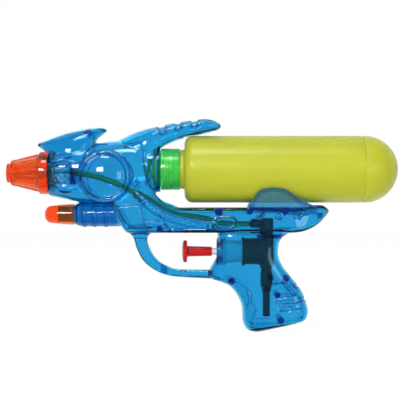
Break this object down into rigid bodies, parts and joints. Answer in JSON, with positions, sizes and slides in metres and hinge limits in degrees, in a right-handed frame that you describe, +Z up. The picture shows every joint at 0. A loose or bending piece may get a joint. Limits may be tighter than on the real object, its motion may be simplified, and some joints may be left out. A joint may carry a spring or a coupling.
{
  "type": "water squirter",
  "caption": "Hand-pumped toy water squirter: see-through pistol-shaped body, push-button trigger, piston pump, hose to the nozzle and a screw-on water bottle.",
  "frame": {"origin": "middle of the overall box in X and Y, at the lowest point of the grip", "axes": "+X from the muzzle towards the bottle's end, +Y out of the right half shell, +Z up"},
  "size_m": [0.2922, 0.05, 0.159],
  "materials": {
    "blue_shell": "clear blue, polished",
    "orange_clear": "clear orange, polished",
    "green_collar": "moulded, slightly see-through",
    "lime_bottle": "blow-moulded, milky",
    "red_trigger": "glossy",
    "white_plastic": "satin",
    "black_plastic": "satin",
    "black_rubber": "matt",
    "white_rubber": "matt",
    "steel": "bright drawn wire and polished balls",
    "green_hose": "smooth soft tubing"
  },
  "bodies": {
    "housing": {"left_shell": "blue_shell", "right_shell": "blue_shell", "nozzle": "orange_clear", "nozzle_jet": "white_plastic", "lower_tip": "orange_clear", "neck_collar": "green_collar", "collar_gasket": "white_rubber", "pump_barrel": "white_plastic", "barrel_seal": "white_rubber", "return_spring": "steel", "valve_block": "black_plastic", "inlet_fitting": "black_plastic", "dip_tube": "black_plastic", "outlet_elbow": "black_plastic", "hose": "green_hose"},
    "trigger": {"trigger": "red_trigger", "plunger": "white_plastic", "piston_seal": "black_rubber"},
    "neck_seal": {"neck_seal": "white_rubber"},
    "bottle": {"bottle": "lime_bottle"},
    "inlet_ball": {"inlet_ball": "steel"},
    "outlet_ball": {"outlet_ball": "steel"}
  },
  "joints": [
    {"name": "trigger_pull", "type": "slide", "parent": "housing", "child": "trigger", "axis": [1, 0, 0], "range_m": [0, 0.012], "stiffness_N_per_m": 400, "springref_m": -0.006, "deforming": ["return_spring"]},
    {"name": "bottle_turn", "type": "hinge", "parent": "housing", "child": "neck_seal", "pos_m": [0, 0, 0.1213], "axis": [1, 0, 0], "range_deg": [0, 900]},
    {"name": "bottle_travel", "type": "slide", "parent": "neck_seal", "child": "bottle", "axis": [1, 0, 0], "range_m": [0, 0.0101]},
    {"name": "inlet_valve", "type": "slide", "parent": "housing", "child": "inlet_ball", "axis": [0, 0, 1], "range_m": [0, 0.0015]},
    {"name": "outlet_valve", "type": "slide", "parent": "housing", "child": "outlet_ball", "axis": [0, 0, 1], "range_m": [0, 0.0015]}
  ],
  "couplings": [
    {"joint": "bottle_travel", "follows": "bottle_turn", "m_per_rad": 0.00063662}
  ]
}
